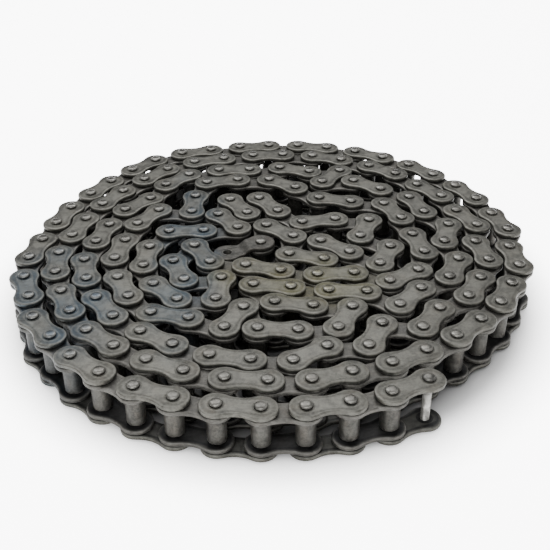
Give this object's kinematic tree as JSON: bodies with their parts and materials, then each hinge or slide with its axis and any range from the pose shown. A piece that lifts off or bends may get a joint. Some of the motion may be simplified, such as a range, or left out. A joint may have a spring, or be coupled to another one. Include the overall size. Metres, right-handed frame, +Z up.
{
  "type": "roller chain",
  "caption": "Coiled length of single-strand roller chain lying flat: riveted outer and inner links, a hinged free end with turning rollers, and an open cranked link inside.",
  "frame": {"origin": "centre of the coil's footprint on the surface it lies on", "axes": "+Z up through the coil, along every pin; the hinged free end lies towards -Y and +X"},
  "size_m": [0.2284, 0.2312, 0.0234],
  "materials": {
    "plate": "dark rolled steel, lightly oiled",
    "inner_plate": "dark rolled steel, lightly oiled",
    "roller": "satin turned steel",
    "pin": "smooth turned steel"
  },
  "bodies": {
    "coil": {"coil_run_01": "plate", "coil_run_02": "plate", "coil_run_03": "plate", "coil_run_04": "plate", "coil_run_05": "plate", "coil_run_06": "plate", "coil_run_07": "plate", "coil_run_08": "plate", "coil_run_09": "plate", "coil_run_10": "plate", "coil_run_11": "plate", "coil_run_12": "plate", "coil_run_13": "plate", "coil_run_14": "plate", "coil_run_15": "plate", "coil_run_16": "plate", "coil_run_17": "plate", "coil_run_18": "plate", "coil_run_19": "plate", "coil_run_20": "plate", "coil_run_21": "plate", "coil_run_22": "plate"},
    "tail_link_6": {"tail_inner_6_plate_top": "inner_plate", "tail_inner_6_plate_bottom": "inner_plate", "tail_bush_6": "roller", "tail_bush_7": "roller"},
    "tail_link_5": {"tail_outer_5_plate_top": "plate", "tail_outer_5_plate_bottom": "plate", "tail_pin_5": "pin", "tail_pin_6": "pin"},
    "tail_link_4": {"tail_inner_4_plate_top": "inner_plate", "tail_inner_4_plate_bottom": "inner_plate", "tail_bush_4": "roller", "tail_bush_5": "roller"},
    "tail_link_3": {"tail_outer_3_plate_top": "plate", "tail_outer_3_plate_bottom": "plate", "tail_pin_3": "pin", "tail_pin_4": "pin"},
    "tail_link_2": {"tail_inner_2_plate_top": "inner_plate", "tail_inner_2_plate_bottom": "inner_plate", "tail_bush_2": "roller", "tail_bush_3": "roller"},
    "tail_link_1": {"tail_outer_1_plate_top": "plate", "tail_outer_1_plate_bottom": "plate", "tail_pin_1": "pin", "tail_pin_2": "pin"},
    "roller_2": {"tail_roller_2": "roller"},
    "roller_3": {"tail_roller_3": "roller"},
    "roller_4": {"tail_roller_4": "roller"},
    "roller_5": {"tail_roller_5": "roller"},
    "roller_6": {"tail_roller_6": "roller"},
    "roller_7": {"tail_roller_7": "roller"},
    "offset_link": {"offset_plate_top": "inner_plate", "offset_plate_bottom": "inner_plate", "offset_pin": "pin", "offset_bush": "roller"},
    "offset_roller": {"offset_roller": "roller"}
  },
  "joints": [
    {"name": "tail_hinge_7", "type": "hinge", "parent": "coil", "child": "tail_link_6", "pos_m": [-0.03586, -0.10361, 0.0117], "axis": [0, 0, -1], "range_deg": [0, 20]},
    {"name": "tail_hinge_6", "type": "hinge", "parent": "tail_link_6", "child": "tail_link_5", "pos_m": [-0.02048, -0.10755, 0.0117], "axis": [0, 0, -1], "range_deg": [0, 20]},
    {"name": "tail_hinge_5", "type": "hinge", "parent": "tail_link_5", "child": "tail_link_4", "pos_m": [-0.0047, -0.10925, 0.0117], "axis": [0, 0, -1], "range_deg": [0, 20]},
    {"name": "tail_hinge_4", "type": "hinge", "parent": "tail_link_4", "child": "tail_link_3", "pos_m": [0.01117, -0.10863, 0.0117], "axis": [0, 0, -1], "range_deg": [0, 20]},
    {"name": "tail_hinge_3", "type": "hinge", "parent": "tail_link_3", "child": "tail_link_2", "pos_m": [0.02678, -0.10573, 0.0117], "axis": [0, 0, -1], "range_deg": [0, 20]},
    {"name": "tail_hinge_2", "type": "hinge", "parent": "tail_link_2", "child": "tail_link_1", "pos_m": [0.04181, -0.10062, 0.0117], "axis": [0, 0, -1], "range_deg": [0, 20]},
    {"name": "roller_spin_2", "type": "hinge", "parent": "tail_link_2", "child": "roller_2", "pos_m": [0.04181, -0.10062, 0.0117], "axis": [0, 0, 1], "continuous": true},
    {"name": "roller_spin_3", "type": "hinge", "parent": "tail_link_2", "child": "roller_3", "pos_m": [0.02678, -0.10573, 0.0117], "axis": [0, 0, 1], "continuous": true},
    {"name": "roller_spin_4", "type": "hinge", "parent": "tail_link_4", "child": "roller_4", "pos_m": [0.01117, -0.10863, 0.0117], "axis": [0, 0, 1], "continuous": true},
    {"name": "roller_spin_5", "type": "hinge", "parent": "tail_link_4", "child": "roller_5", "pos_m": [-0.0047, -0.10925, 0.0117], "axis": [0, 0, 1], "continuous": true},
    {"name": "roller_spin_6", "type": "hinge", "parent": "tail_link_6", "child": "roller_6", "pos_m": [-0.02048, -0.10755, 0.0117], "axis": [0, 0, 1], "continuous": true},
    {"name": "roller_spin_7", "type": "hinge", "parent": "tail_link_6", "child": "roller_7", "pos_m": [-0.03586, -0.10361, 0.0117], "axis": [0, 0, 1], "continuous": true},
    {"name": "offset_hinge", "type": "hinge", "parent": "coil", "child": "offset_link", "pos_m": [-0.00621, 0.00468, 0.0117], "axis": [0, 0, -1], "range_deg": [0, 10]},
    {"name": "offset_roller_spin", "type": "hinge", "parent": "offset_link", "child": "offset_roller", "pos_m": [-0.02104, -0.001, 0.0117], "axis": [0, 0, 1], "continuous": true}
  ]
}
